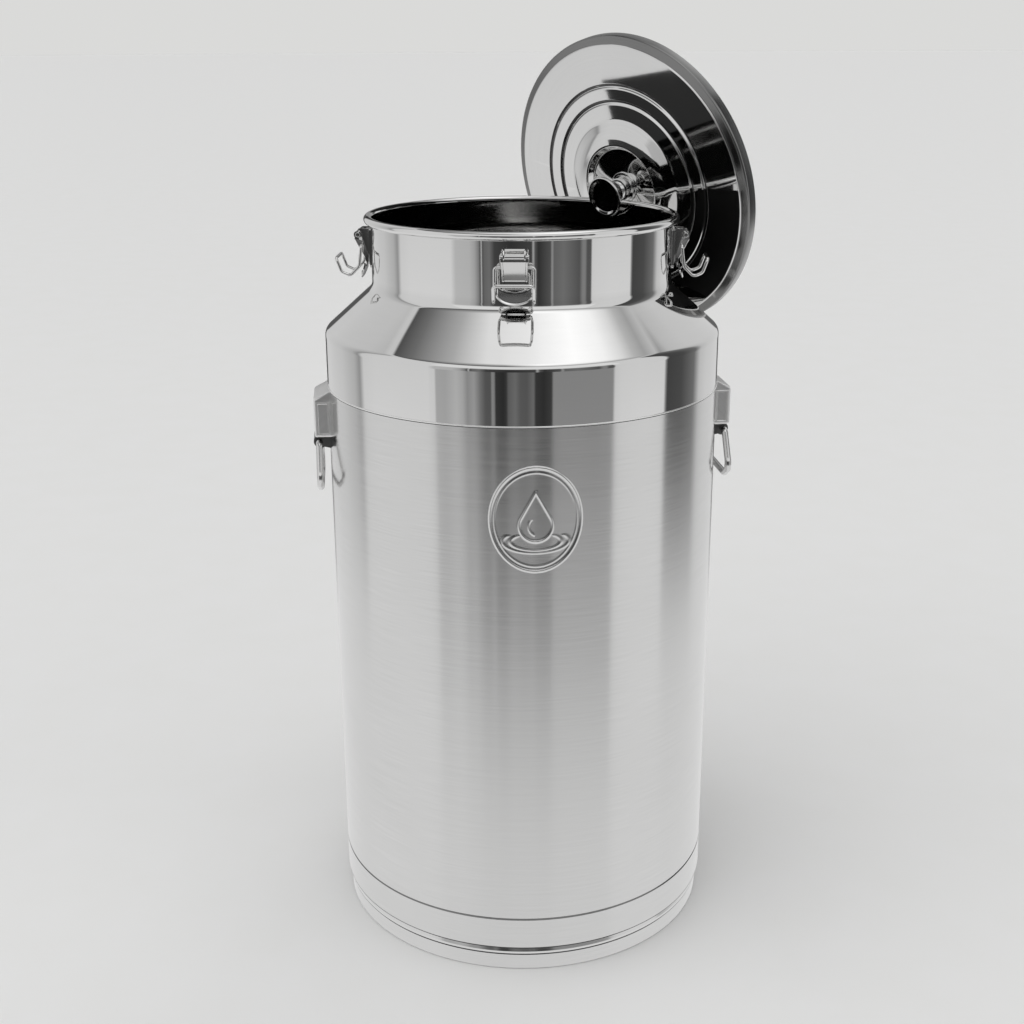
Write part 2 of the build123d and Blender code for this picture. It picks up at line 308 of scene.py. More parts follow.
# ---- material tools -----------------------------------------------------------------------
class Nodes:
    """Short way to add shader nodes: inputs are linked when they are sockets."""

    def __init__(self, tree):
        self.tree = tree
        tree.nodes.clear()

    def add(self, kind, inputs=None, **settings):
        node = self.tree.nodes.new("ShaderNode" + kind)
        for key, value in settings.items():
            setattr(node, key, value)
        for key, value in (inputs or {}).items():
            if isinstance(value, bpy.types.NodeSocket):
                self.tree.links.new(value, node.inputs[key])
            else:
                node.inputs[key].default_value = value
        return node

    def math(self, operation, first, second=0.0, clamp=False):
        node = self.add("Math", {0: first, 1: second}, operation=operation, use_clamp=clamp)
        return node.outputs[0]

    def remap(self, value, low, high, to_low, to_high):
        inputs = {"Value": value, 1: low, 2: high, 3: to_low, 4: to_high}
        return self.add("MapRange", inputs).outputs["Result"]

    def ramp(self, value, stops):
        """Grey ramp from (position, level) stops."""
        node = self.add("ValToRGB", {0: value})
        elements = node.color_ramp.elements
        elements[0].position = stops[0][0]
        elements[1].position = stops[-1][0]
        elements[0].color = (stops[0][1],) * 3 + (1,)
        elements[1].color = (stops[-1][1],) * 3 + (1,)
        for position, level in stops[1:-1]:
            elements.new(position).color = (level, level, level, 1)
        return node.outputs["Color"]

    def mix(self, share, first, second):
        node = self.add("Mix", data_type="RGBA")
        for index, value in ((0, share), (6, first), (7, second)):
            if isinstance(value, bpy.types.NodeSocket):
                self.tree.links.new(value, node.inputs[index])
            else:
                node.inputs[index].default_value = value
        return node.outputs[2]


steel_tint = (1.0, 0.998, 0.992)


def steel(name, level, roughness, streak, streak_depth, wave=0.0, anisotropy=0.0, place=None,
          smudge=0.05, wear=0.06, contrast=0.05):
    """Stainless steel with its grain running round the piece's axis.

    level is its reflectance, streak the grain's spacing in millimetres, streak_depth and wave
    the strength of the grain and of the sheet's slight waves, place the piece's own frame, smudge
    the roughness of handled patches, wear the brightening of edges, and contrast how far the
    grain's tone strays.
    """
    material = bpy.data.materials.new(name)
    material.use_nodes = True
    nodes = Nodes(material.node_tree)
    coordinates = nodes.add("TexCoord").outputs["Object"]
    if place:
        back = place.inverted()
        inputs = {"Vector": coordinates, "Location": back.translation, "Rotation": back.to_euler()}
        coordinates = nodes.add("Mapping", inputs).outputs[0]
    split = nodes.add("SeparateXYZ", {0: coordinates}).outputs
    reach = nodes.math("SQRT", nodes.math("ADD", nodes.math("MULTIPLY", split[0], split[0]),
                                          nodes.math("MULTIPLY", split[1], split[1])))
    run = nodes.math("ADD", reach, split[2])
    long_streak = 1 / (45 * MM)
    fine = nodes.add("CombineXYZ", {
        0: nodes.math("MULTIPLY", split[0], long_streak),
        1: nodes.math("MULTIPLY", split[1], long_streak),
        2: nodes.math("MULTIPLY", run, 1 / (streak * MM)),
    }).outputs[0]
    grain = nodes.add("TexNoise", {"Vector": fine, "Scale": 1.0, "Detail": 3.0, "Roughness": 0.6})
    broad = nodes.add("TexNoise", {"Vector": coordinates, "Scale": 9.0, "Detail": 3.0})
    waves = nodes.add("TexNoise", {"Vector": coordinates, "Scale": 22.0, "Detail": 1.0})
    edge = nodes.remap(nodes.add("NewGeometry").outputs["Pointiness"], 0.52, 0.62, 0.0, 1.0)

    tone = nodes.remap(grain.outputs[0], 0.25, 0.75, level * (1 - contrast), level * (1 + contrast))
    tone = nodes.math("ADD", tone, nodes.remap(broad.outputs[0], 0.3, 0.7, -0.015, 0.015))
    tone = nodes.math("ADD", tone, nodes.math("MULTIPLY", edge, wear), clamp=True)
    grey = nodes.add("CombineColor", {
        0: nodes.math("MULTIPLY", tone, steel_tint[0]),
        1: nodes.math("MULTIPLY", tone, steel_tint[1]),
        2: nodes.math("MULTIPLY", tone, steel_tint[2]),
    }).outputs[0]
    rough = nodes.remap(grain.outputs[0], 0.25, 0.75, roughness * 0.85, roughness * 1.15)
    rough = nodes.math("ADD", rough, nodes.remap(broad.outputs[0], 0.45, 0.75, 0.0, smudge))

    bump = nodes.add("Bump", {"Height": waves.outputs[0], "Strength": wave, "Distance": 1 * MM})
    bump = nodes.add("Bump", {"Height": grain.outputs[0], "Strength": streak_depth,
                              "Distance": 0.02 * MM, "Normal": bump.outputs[0]})
    shader = nodes.add("BsdfPrincipled", {
        "Base Color": grey, "Roughness": rough, "Normal": bump.outputs[0],
        "Metallic": 1.0, "Anisotropic": anisotropy, "Anisotropic Rotation": 0.25,
    })
    if anisotropy:
        tangent = nodes.add("Tangent", direction_type="RADIAL", axis="Z")
        nodes.tree.links.new(tangent.outputs[0], shader.inputs["Tangent"])
    output = nodes.add("OutputMaterial", {"Surface": shader.outputs[0]})
    nodes.tree.nodes.active = output
    return material


def silicone():
    """Milky food-grade silicone with fine pits and handled patches."""
    material = bpy.data.materials.new("silicone")
    material.use_nodes = True
    nodes = Nodes(material.node_tree)
    coordinates = nodes.add("TexCoord").outputs["Object"]
    pits = nodes.add("TexNoise", {"Vector": coordinates, "Scale": 2600.0, "Detail": 2.0})
    patches = nodes.add("TexNoise", {"Vector": coordinates, "Scale": 60.0, "Detail": 4.0})
    colour = nodes.mix(patches.outputs[0], (0.72, 0.71, 0.67, 1), (0.84, 0.83, 0.80, 1))
    rough = nodes.remap(patches.outputs[0], 0.3, 0.7, 0.42, 0.58)
    bump = nodes.add("Bump", {"Height": pits.outputs[0], "Strength": 0.3, "Distance": 0.05 * MM})
    shader = nodes.add("BsdfPrincipled", {
        "Base Color": colour, "Roughness": rough, "Normal": bump.outputs[0],
        "Subsurface Weight": 0.15, "Subsurface Scale": 0.004,
    })
    nodes.add("OutputMaterial", {"Surface": shader.outputs[0]})
    return material


lid_frame = lid_place()
brushed = steel("brushed_sheet", 0.745, 0.165, 0.5, 0.1, anisotropy=0.75, smudge=0.02)
polished = steel("polished_shell", 0.76, 0.03, 0.4, 0.002, wave=0.004, smudge=0.02, contrast=0.012)
lid_polish = steel("polished_lid", 0.72, 0.05, 0.35, 0.01, wave=0.01, place=lid_frame, smudge=0.03,
                   contrast=0.03)
lid_edge_steel = steel("lid_edge", 0.24, 0.2, 0.3, 0.1, place=lid_frame, wear=0.3)
# Near-black steel that is painted shade in the lid's two grooves.
lid_groove_painted_shade = steel("painted_shade_lid_groove", 0.1, 0.12, 0.3, 0.05, place=lid_frame, wear=0.3)
# Dark steel that is painted shade in grooves and along the foot's bottom edge.
groove_painted_shade = steel("groove_painted_shade", 0.24, 0.3, 0.4, 0.1, wear=0.05)
# Near-black steel that is painted shade in gaps, joints and under parts, where shade falls.
gap_painted_shade = steel("gap_painted_shade", 0.09, 0.4, 0.4, 0.1, wear=0.05)
knob_polish = steel("polished_knob", 0.66, 0.06, 0.3, 0.05, place=lid_frame)
bead_steel = steel("bead_steel", 0.78, 0.12, 0.35, 0.1)
seam_steel = steel("seam_steel", 0.95, 0.3, 0.35, 0.1)
cover_steel = steel("handle_sheet", 0.86, 0.34, 0.5, 0.1, wave=0.02)
frame_steel = steel("handle_frame", 0.95, 0.3, 0.5, 0.05)
panel_steel = steel("handle_panel", 0.74, 0.3, 0.5, 0.1)
bar_steel = steel("handle_bar", 0.7, 0.1, 0.3, 0.1, wave=0.02)
latch_steel = steel("latch_sheet", 0.72, 0.08, 0.3, 0.05, wave=0.02)
# Dark steel that paints the dark reflection inside the finger tab.
tab_painted_reflection = steel("latch_dish_painted_reflection", 0.14, 0.2, 0.3, 0.1, wear=0.02)
wire_steel = steel("latch_wire", 0.76, 0.05, 0.3, 0.04)
hardware_steel = steel("hardware", 0.72, 0.16, 0.25, 0.12)
gasket_silicone = silicone()


# ---- can ----------------------------------------------------------------------------------
inner_radius = body_radius - sheet
lap_radius = 156.4


def make_foot():
    shape = bmesh.new()
    line = section(
        [
            (foot_inner_radius, 0),
            (foot_radius, 0),
            (foot_radius, foot_height),
            (lap_radius, foot_height + 0.2),
            (lap_radius, bead_top - 1),
            (lap_radius - sheet, bead_top - 1),
            (lap_radius - sheet, sheet),
            (foot_inner_radius, sheet),
        ],
        [0.5, 0.9, 0.5, 0, 0, 0, 1.0, 0.5],
        closed=True,
    )
    turned(shape, line)
    # These bands paint shade: a dark line at the lap under the bead, and a dark line at the foot's
    # bottom edge that stands in for its contact shadow.
    bands = [
        ((150, 158), (foot_height - 0.75, foot_height + 2), gap_painted_shade),
        ((150, 158), (-0.1, 0.62), groove_painted_shade),
    ]
    piece("foot_ring_turned", shape, "can", brushed, ["foot_ring"], bands=bands)

    shape = bmesh.new()
    line = section(
        [
            (lap_radius, foot_height + 0.6),
            (158.2, foot_height + 0.7),
            (158.35, foot_height + 1.6),
            (158.9, foot_height + 3.4),
            (158.2, bead_top),
            (inner_radius, bead_top + 0.3),
            (inner_radius, 30),
            (inner_radius - sheet, 30),
            (inner_radius - sheet, bead_top + 1.2),
            (lap_radius, bead_top + 0.4),
        ],
        [0, 0.3, 0, 2.0, 0.8, 0.3, 0, 0, 0.8, 0],
        closed=True,
    )
    turned(shape, line)
    # These bands paint shade as dark lines in the joints at the bead's top and bottom.
    bands = [
        ((150, 158.35), (bead_top - 0.9, bead_top + 0.6), gap_painted_shade),
        ((150, 159), (foot_height, foot_height + 1.6), gap_painted_shade),
    ]
    piece("base_bead_turned", shape, "can", bead_steel, ["base_bead"], bands=bands)


def make_body():
    shape = bmesh.new()
    line = section(
        [
            (inner_radius, body_bottom),
            (body_radius, body_bottom),
            (body_radius, body_bottom + 0.8),
            (body_radius, groove_height - 0.9),
            (body_radius - 0.55, groove_height),
            (body_radius, groove_height + 0.9),
            (body_radius, seam_height - 1.2),
            (body_radius, seam_height - seam_half_width),
            (inner_radius, seam_height - seam_half_width),
        ],
        [0, 0.4, 0, 0.8, 0.35, 0.8, 0, 0.2, 0],
        closed=True,
    )
    turned(shape, line, sides=256)
    # These bands paint shade: dark steel in the groove, under the seam and at the body's foot, where
    # shade falls in the joints.
    bands = [
        ((150, 161), (groove_height - 0.9, groove_height + 0.1), groove_painted_shade),
        ((150, 161), (seam_height - 1.15, seam_height - 0.55), gap_painted_shade),
        ((150, 161), (body_bottom - 0.3, body_bottom + 0.75), gap_painted_shade),
    ]
    piece("body_shell_turned", shape, "can", brushed, ["body_shell"], bands=bands)

    shape = bmesh.new()
    line = section(
        [
            (inner_radius, seam_height - seam_half_width),
            (body_radius, seam_height - seam_half_width),
            (body_radius + 0.6, seam_height - 0.5),
            (body_radius + 0.6, seam_height + 0.5),
            (body_radius, seam_height + seam_half_width),
            (inner_radius, seam_height + seam_half_width),
        ],
        [0, 0.1, 0.45, 0.45, 0.1, 0],
        closed=True,
    )
    turned(shape, line, sides=256)
    piece("seam_weld_turned", shape, "can", seam_steel, ["seam_weld"])


def make_shoulder_and_neck():
    shape = bmesh.new()
    line = section(
        [
            (body_radius, seam_height + seam_half_width),
            (body_radius, shoulder_edge_height),
            (neck_radius, neck_foot_height),
            (neck_radius, neck_joint_height),
        ],
        [0, 7, 9, 0],
    )
    turned(shape, thicken(line, sheet), sides=256)
    piece("shoulder_turned", shape, "can", polished, ["shoulder_shell"])

    shape = bmesh.new()
    inner_wall = neck_radius - sheet
    curl_centre = inner_wall + curl_radius
    curl_turns = [math.radians(180 - 290 * k / 40) for k in range(41)]

    def curl(radius, turn):
        return Vector((curl_centre + radius * math.cos(turn), 0, rim_height + radius * math.sin(turn)))

    outline = [
        Vector((inner_wall, 0, neck_joint_height)),
        Vector((neck_radius, 0, neck_joint_height)),
        Vector((neck_radius, 0, rim_height - 1)),
    ]
    outline += [curl(curl_radius - sheet, turn) for turn in curl_turns]
    outline += [curl(curl_radius, turn) for turn in reversed(curl_turns)]
    outline.append(Vector((inner_wall, 0, rim_height - 1)))
    turned(shape, outline, sides=256)
    piece("neck_turned", shape, "can", polished, ["neck_ring"], crease=50)


# ---- emblem -------------------------------------------------------------------------------
def drop_distance(across, up):
    """Distance outside a drop that stands on a round bowl with its tip up."""
    bowl, tall = 12.5, 26.0
    slope = bowl / tall
    lean = math.sqrt(1 - slope * slope)
    across, up = abs(across), up + 4.5
    way = -slope * across + lean * up
    if way < 0:
        return math.hypot(across, up) - bowl
    if way > lean * tall:
        return math.hypot(across, up - tall)
    return lean * across + slope * up - bowl


def ridge(distance, width):
    return math.exp(-((distance / width) ** 2))


def emblem_relief(across, up, share):
    """How far the emblem stands out of the wall, in millimetres."""
    from_edge = (share - 0.94) * emblem_half_width
    inner_line = (share - 0.85) * emblem_half_width
    drop = drop_distance(across, up)
    relief = 0.6 * ridge(from_edge, 0.9) + 0.22 * ridge(inner_line, 0.6)
    relief += 0.5 * ridge(drop, 0.85)
    gleam = math.hypot(across - 2.0, up + 5.0) - 7.5
    if across < -1.0 and up < 0.0:
        relief += 0.3 * ridge(gleam, 0.7)
    for size in (19.0, 25.0):
        ring = (math.hypot(across / size, (up + 17.0) / (0.36 * size)) - 1) * 0.5 * size
        if drop > 2.0 and up < -12.0:
            relief += 0.36 * ridge(ring, 0.7)
    lip = min(1.0, (1 - share) / 0.03)
    return min(relief, 0.62) * lip - 0.12 * (1 - lip)


def make_emblem():
    shape = bmesh.new()
    rings, sides = 90, 240
    rows = []
    for depth in (True, False):
        order = range(1, rings + 1) if depth else range(rings, 0, -1)
        for k in order:
            share = k / rings
            row = []
            for j in range(sides):
                angle = 2 * math.pi * j / sides
                across = emblem_half_width * share * math.cos(angle)
                up = emblem_half_height * share * math.sin(angle)
                relief = emblem_relief(across, up, share) if depth else -0.6
                turn = across / body_radius
                radius = body_radius + relief
                row.append(
                    Vector((radius * math.cos(turn), radius * math.sin(turn), up + emblem_height))
                )
            rows.append(row)
    made = skin(shape, rows)
    shape.faces.new(made[0])
    shape.faces.new(made[-1])
    place = wall_place(emblem_azimuth)
    piece("emblem_relief", shape, "can", brushed, [], place, crease=60)


# ---- handles ------------------------------------------------------------------------------
panel_inner = 159.2
panel_outer = 169.7
panel_bottom = 425.4
panel_top = 452.8
cover_edge_round = 1.6
cover_pocket_depth = 24


def make_handle(side, azimuth):
    place = wall_place(azimuth)
    shape = bmesh.new()
    columns = 10
    rows = []
    for j in range(columns + 1):
        along = cover_half_width * (2 * j / columns - 1)
        back = math.sqrt((body_radius - 0.6) ** 2 - along**2)
        lip = math.sqrt((body_radius + 0.4) ** 2 - along**2)
        rows.append([
            Vector((back, along, cover_bottom)),
            Vector((cover_radius, along, cover_bottom)),
            Vector((cover_radius, along, cover_slope_foot)),
            Vector((lip, along, cover_top)),
            Vector((back, along, cover_top)),
        ])
    made = skin(shape, rows)
    ends = [shape.faces.new(made[0]), shape.faces.new(made[-1])]
    front_lines = [[row[k] for row in made] for k in (1, 2)]
    rounded = set()
    for line in front_lines:
        rounded.update(shape.edges.get(pair) for pair in zip(line, line[1:]))
    for row in (made[0], made[-1]):
        for k in (0, 1, 2):
            rounded.add(shape.edges.get((row[k], row[k + 1])))
    bmesh.ops.bevel(
        shape, geom=[edge for edge in rounded if edge], offset=cover_edge_round * MM, segments=4,
        affect="EDGES", profile=0.5,
    )
    panel_lines = [
        ((0, 0, panel_bottom), (0, 0, 1)),
        ((0, 0, panel_top), (0, 0, 1)),
        ((panel_inner, 0, 0), (1, 0, 0)),
        ((panel_outer, 0, 0), (1, 0, 0)),
    ]
    for point, normal in panel_lines:
        everything = shape.verts[:] + shape.edges[:] + shape.faces[:]
        bmesh.ops.bisect_plane(shape, geom=everything, plane_co=Vector(point) * MM, plane_no=normal)
    shape.normal_update()
    panels = []
    for face in shape.faces:
        centre = face.calc_center_median() / MM
        inside = panel_inner < centre.x < panel_outer and panel_bottom < centre.z < panel_top
        if abs(face.normal.y) > 0.999 and inside:
            panels.append(face)
    for thickness, depth in ((0.3, 0.3), (1.5, 0), (0.6, -0.9)):
        frame_faces = bmesh.ops.inset_region(
            shape, faces=panels, thickness=thickness * MM, depth=depth * MM
        )["faces"]
        for face in frame_faces:
            face.material_index = 1
        shape.normal_update()
    for face in panels:
        face.material_index = 2
    underside = [f for f in shape.faces if f.normal.z < -0.999 and f.calc_area() > 1e-5]
    bmesh.ops.inset_region(shape, faces=underside, thickness=1.0 * MM)
    pocket = bmesh.ops.extrude_face_region(shape, geom=underside)
    deep = [v for v in pocket["geom"] if isinstance(v, bmesh.types.BMVert)]
    bmesh.ops.translate(shape, verts=deep, vec=(0, 0, cover_pocket_depth * MM))
    bmesh.ops.delete(shape, geom=underside, context="FACES")
    piece(f"handle_cover_pressed_{side}", shape, "can", cover_steel,
          [f"handle_cover_{side}"], place, crease=24, others=(frame_steel, panel_steel))

    shape = bmesh.new()
    corners = [(20.0, ring_pivot_height), (38.0, ring_low_height), (24.0, ring_bottom)]
    half = [(ring_pivot_radius, along, height) for along, height in corners]
    other = [(radius, -along, height) for radius, along, height in reversed(half)]
    route = bend(half + other, [5, 7, 12, 12, 7, 5], closed=True)
    wire(shape, route, ring_bar_radius, closed=True, sides=28)
    piece(f"handle_ring_bar_{side}", shape, f"ring_{side}", bar_steel,
          [f"handle_ring_{side}"], place)


# ---- latches ------------------------------------------------------------------------------
ear_offset = 7.7
ear_thickness = 0.8
barrel_radius = 2.45
barrel_half_width = 7.3
pin_half_length = 10.8
tab_half_width = 12.9


def along_wall(centre_radius, centre_height):
    """Lays a turned shape's axis along the wall, through a point."""
    place = Matrix.Rotation(-math.pi / 2, 4, "X")
    place.translation = Vector((centre_radius, 0, centre_height)) * MM
    return place


def make_latch_base(side, place):
    shape = bmesh.new()
    back = neck_radius - 0.7
    front = neck_radius + sheet
    plate = bend(
        [(back, -10, 555), (back, 10, 555), (back, 10, 586.4), (back, -10, 586.4)],
        [2.5, 2.5, 1.5, 1.5],
        closed=True,
    )
    slab(shape, plate, (front - back, 0, 0), edge=0.3)
    strap = [(neck_radius, 586.4), (130.4, 583.7), (129.9, 582.5), (neck_radius, 585.2)]
    strap = section(strap)
    slab(shape, shifted(strap, -barrel_half_width), (0, 2 * barrel_half_width, 0), edge=0.15)
    ear = section(
        [
            (neck_radius + 0.4, 586.2),
            (129.8, 586.2),
            (133.2, 583.4),
            (133.2, 580.4),
            (123.6, 562.0),
            (neck_radius + 0.4, 556.4),
        ],
        [0, 2.2, 1.2, 2.0, 2.5, 0],
        closed=True,
    )
    for end in (-1, 1):
        low = end * ear_offset - ear_thickness / 2
        slab(shape, shifted(ear, low), (0, ear_thickness, 0), edge=0.16)
    knuckle = section(
        [
            (0, -barrel_half_width),
            (barrel_radius, -barrel_half_width),
            (barrel_radius, barrel_half_width),
            (0, barrel_half_width),
        ],
        [0, 0.5, 0.5, 0],
    )
    turned(shape, knuckle, 40, along_wall(pivot_radius, pivot_height))
    piece(f"latch_base_formed_{side}", shape, "can", latch_steel,
          [f"latch_base_{side}"], place)

    shape = bmesh.new()
    head = pin_half_length - 0.8
    rivet = section(
        [
            (0, -pin_half_length),
            (1.9, -pin_half_length + 0.1),
            (2.0, -head),
            (pin_radius, -head),
            (pin_radius, head),
            (2.0, head),
            (1.9, pin_half_length - 0.1),
            (0, pin_half_length),
        ],
        [0, 0.5, 0.1, 0, 0, 0.1, 0.5, 0],
    )
    turned(shape, rivet, 32, along_wall(pivot_radius, pivot_height))
    piece(f"latch_pin_turned_{side}", shape, "can", hardware_steel,
          [f"latch_pin_{side}"], place)


def tab_crease(share):
    """Height of the finger tab's upper line, at a share of its half width."""
    return 559.4 - 3.6 * (1 - share * share)


def tab_lip(share):
    """Height of the finger tab's lower edge, at a share of its half width."""
    return 554.9 - 8.1 * math.sqrt(max(0.0, 1 - (0.97 * share) ** 2))


def add_tab(shape):
    """Adds the dished finger tab. The faces inside its beads take the second finish, a dark steel that
    paints the tab's dark reflection.
    """
    rows = []
    for i in range(19):
        down = i / 18
        row = []
        for j in range(41):
            share = 2 * j / 40 - 1
            crease = tab_crease(share)
            height = crease + (tab_lip(share) - crease) * down
            bead = 0.8 * ridge(1 - down, 0.09) + 0.5 * ridge(down, 0.09)
            radius = 125.6 + 0.3 * (560.0 - height) + bead
            row.append(Vector((radius, tab_half_width * share, height)))
        rows.append(row)
    earlier_faces = set(shape.faces)
    pressed(shape, rows, 1.2)
    for face in set(shape.faces) - earlier_faces:
        places = [vert.co / MM for vert in face.verts]
        share = sum(spot.y for spot in places) / len(places) / tab_half_width
        height = sum(spot.z for spot in places) / len(places)
        crease = tab_crease(share)
        if abs(share) < 0.93 and 0.13 < (crease - height) / (crease - tab_lip(share)) < 0.87:
            face.material_index = 1


def make_lever(side, place):
    """Channel-shaped lever with a dished finger tab at its foot."""
    shape = bmesh.new()
    spine = section(
        [(132.9, 580.6), (134.0, 578.3), (126.3, 563.5), (125.0, 559.5), (125.6, 556.4)],
        [0, 1.6, 3.0, 3.0, 0],
    )
    del spine[1]
    fold, sunk = 1.3, 0.55
    length = sum((b - a).length for a, b in zip(spine, spine[1:]))
    rows = []
    gone = 0.0
    for i, point in enumerate(spine):
        if i:
            gone += (point - spine[i - 1]).length
        before = spine[max(i - 1, 0)]
        after = spine[min(i + 1, len(spine) - 1)]
        way = (after - before).normalized()
        out = Vector((-way.z, 0, way.x))
        share = gone / length
        half = 10.0 - 1.0 * share
        depth = max(1.3, 6.4 - 6.2 * share**2.2)
        half_profile = [
            (depth, -half, 0), (0, -half, 0), (0, fold - half, 0), (sunk, fold + 0.5 - half, 0)
        ]
        other_profile = [(x, -y, 0) for x, y, _ in reversed(half_profile)]
        radii = [0, 0.6, 0.25, 0.25, 0.25, 0.25, 0.6, 0]
        profile = bend(half_profile + other_profile, radii, step=20)
        rows.append([point - out * p.x + Vector((0, p.y, 0)) for p in profile])
    pressed(shape, rows, 0.8)
    eye = circle(3.2, (pivot_radius, pivot_height))
    for end in (-1, 1):
        low = 9.05 if end > 0 else -9.85
        slab(shape, shifted(eye, low), (0, 0.8, 0), edge=0.15)
    add_tab(shape)
    # These bands paint shade: dark bands below the lever plate and under the knuckle.
    bands = [((0, 200), (559.9, 562.4), gap_painted_shade), ((131.4, 200), (578.4, 580.9), gap_painted_shade)]
    piece(f"latch_lever_formed_{side}", shape, f"lever_{side}", latch_steel,
          [f"latch_lever_{side}"], place, bands=bands, others=(tab_painted_reflection,))


def make_bail(side, place):
    shape = bmesh.new()
    half = [
        (127.8, 8.6, 573.5),
        (127.8, 14.6, 573.5),
        (130.0, 14.6, 557.0),
        (137.5, 14.6, 549.5),
        (144.5, 14.6, 552.5),
        (148.5, 14.6, 563.5),
    ]
    other = [(radius, -along, height) for radius, along, height in reversed(half)]
    route = bend(half + other, [0, 2.2, 5, 4, 4, 3, 3, 4, 4, 5, 2.2, 0])
    wire(shape, route, wire_radius, sides=20)
    piece(f"latch_bail_wire_{side}", shape, f"bail_{side}", wire_steel,
          [f"latch_bail_{side}"], place)


# ---- lid ----------------------------------------------------------------------------------
def make_lid():
    shape = bmesh.new()
    line = section(
        [
            (lid_radius, -9.0),
            (lid_radius, 0.2),
            (121.0, 1.6),
            (120.0, 2.6),
            (88.6, 3.4),
            (86.6, 1.6),
            (84.6, 3.9),
            (75.0, 3.9),
            (73.0, 1.8),
            (71.0, 3.6),
            (58.0, 4.2),
            (47.0, 9.5),
            (37.5, 11.2),
            (34.0, lid_floor_height),
            (shank_hole_radius, lid_floor_height),
        ],
        [0, 2, 1.2, 1.3, 1.5, 1.5, 1.5, 1.5, 1.5, 1.5, 6, 25, 2.2, 2, 0],
    )
    turned(shape, thicken(line, lid_sheet), 256)
    depths = (-20, 20)
    # The two groove bands paint shade in the lid's grooves.
    bands = [
        ((120.6, 128.0), depths, lid_edge_steel),
        ((86.3, 88.8), depths, lid_groove_painted_shade),
        ((72.7, 75.2), depths, lid_groove_painted_shade),
    ]
    piece("lid_turned", shape, "lid", lid_polish, ["lid_shell"], lid_frame, 50, bands)

    shape = bmesh.new()
    angles = [math.radians(-26 + 5 * k) for k in range(13)]
    ball = [(10 * math.cos(angle), 12 + 10 * math.sin(angle)) for angle in angles]
    collar = [
        (shank_hole_radius, lid_floor_height),
        (13.5, lid_floor_height),
        (13.5, 6.1),
        (11.0, 6.4),
        (11.0, 7.6),
    ]
    boss = section(collar, [0, 0, 0.5, 0.4, 0.5])
    boss += section(ball) + section([(shank_hole_radius, boss_top)])
    turned(shape, boss, 96, lid_frame)
    piece("knob_boss_turned", shape, "lid", knob_polish, ["knob_boss"], crease=40)

    shape = bmesh.new()
    stem = section(
        [
            (0, -4.0),
            (shank_radius, -4.0),
            (shank_radius, boss_top),
            (stem_radius, boss_top),
            (stem_radius, disc_back - 3.0),
            (7.0, disc_back),
            (0, disc_back),
        ],
        [0, 0.4, 0, 0.3, 3.0, 0, 0],
    )
    turned(shape, stem, 64, lid_frame)
    piece("knob_stem_turned", shape, "lid", knob_polish, ["knob_stem"])

    shape = bmesh.new()
    disc = section(
        [
            (0, disc_back),
            (disc_radius, disc_back),
            (disc_radius, 33.2),
            (15.1, 33.2),
            (12.5, 32.0),
            (0, 32.0),
        ],
        [0, 1.5, 1.4, 1.2, 3.0, 0],
    )
    turned(shape, disc, 96, lid_frame)
    piece("knob_disc_turned", shape, "lid", knob_polish, ["knob_disc"])


# ---- carried-over CAD nodes ---------------------------------------------------------------
def finish_cad_nodes():
    finishes = {
        "bottom_pan": brushed,
        # The handle keepers take the near-black steel, which paints them as shade in the dark gap under
        # each cover.
        "handle_keeper_left": gap_painted_shade,
        "handle_keeper_right": gap_painted_shade,
        "lid_gasket": gasket_silicone,
        "knob_washer": hardware_steel,
        "knob_nut": hardware_steel,
    }
    for name, material in finishes.items():
        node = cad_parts[name]
        for slot in node.material_slots:
            slot.material = material


# ---- studio -------------------------------------------------------------------------------
floor_level = 0.82
backdrop_colour = (0.702, 0.702, 0.692, 1)
reflectance = 0.74


def light(level):
    """Brightness of a surface that the steel shows at this display level."""
    linear = ((level + 0.055) / 1.055) ** 2.4
    return linear / reflectance


def grey(level):
    """Colour of that brightness."""
    return (light(level),) * 3 + (1,)


def levels(stops, low=-180.0, high=180.0):
    """Ramp stops from (bearing in degrees, display level) pairs."""
    return [((bearing - low) / (high - low), light(level)) for bearing, level in stops]


# Bearings are seen from the can, 0 towards the camera and positive to its right.
side_stops = [
    (-180, 0.5), (-170, 0.5), (-169, 0.3), (-160, 0.3), (-159, 0.72), (-150, 0.74),
    (-127, 0.72), (-112, 0.65), (-106.5, 0.53), (-103, 0.75), (-92, 0.77), (-54, 0.77),
    (58, 0.76), (70, 0.77), (88.8, 0.77), (90.5, 0.24), (104, 0.27), (117, 0.4), (124, 0.7),
    (133, 0.74), (150, 0.75), (159, 0.75), (160, 0.35), (168, 0.33), (169, 0.6), (180, 0.5),
]
front_low, front_high = -54.0, 58.0
fade_start = 15.2
high_stops = [
    (-54, 0.77), (-50, 0.67), (-39, 0.66), (-35, 0.6), (-31.6, 0.45),
    (-31, 0.32), (-30.4, 0.32), (-30, 0.62), (-29.4, 0.62), (-29, 0.28), (-27.5, 0.37),
    (-23.7, 0.4), (-20, 0.24), (-8, 0.18), (7.4, 0.24), (8.4, 0.62),
    (9.8, 0.3), (12.3, 0.18), (21.4, 0.3), (22, 0.5), (23, 0.5), (23.6, 0.36), (31, 0.4),
    (43.5, 0.3), (46, 0.46), (48, 0.46), (49.5, 0.3), (52.6, 0.3), (53.6, 0.75), (58, 0.76),
]
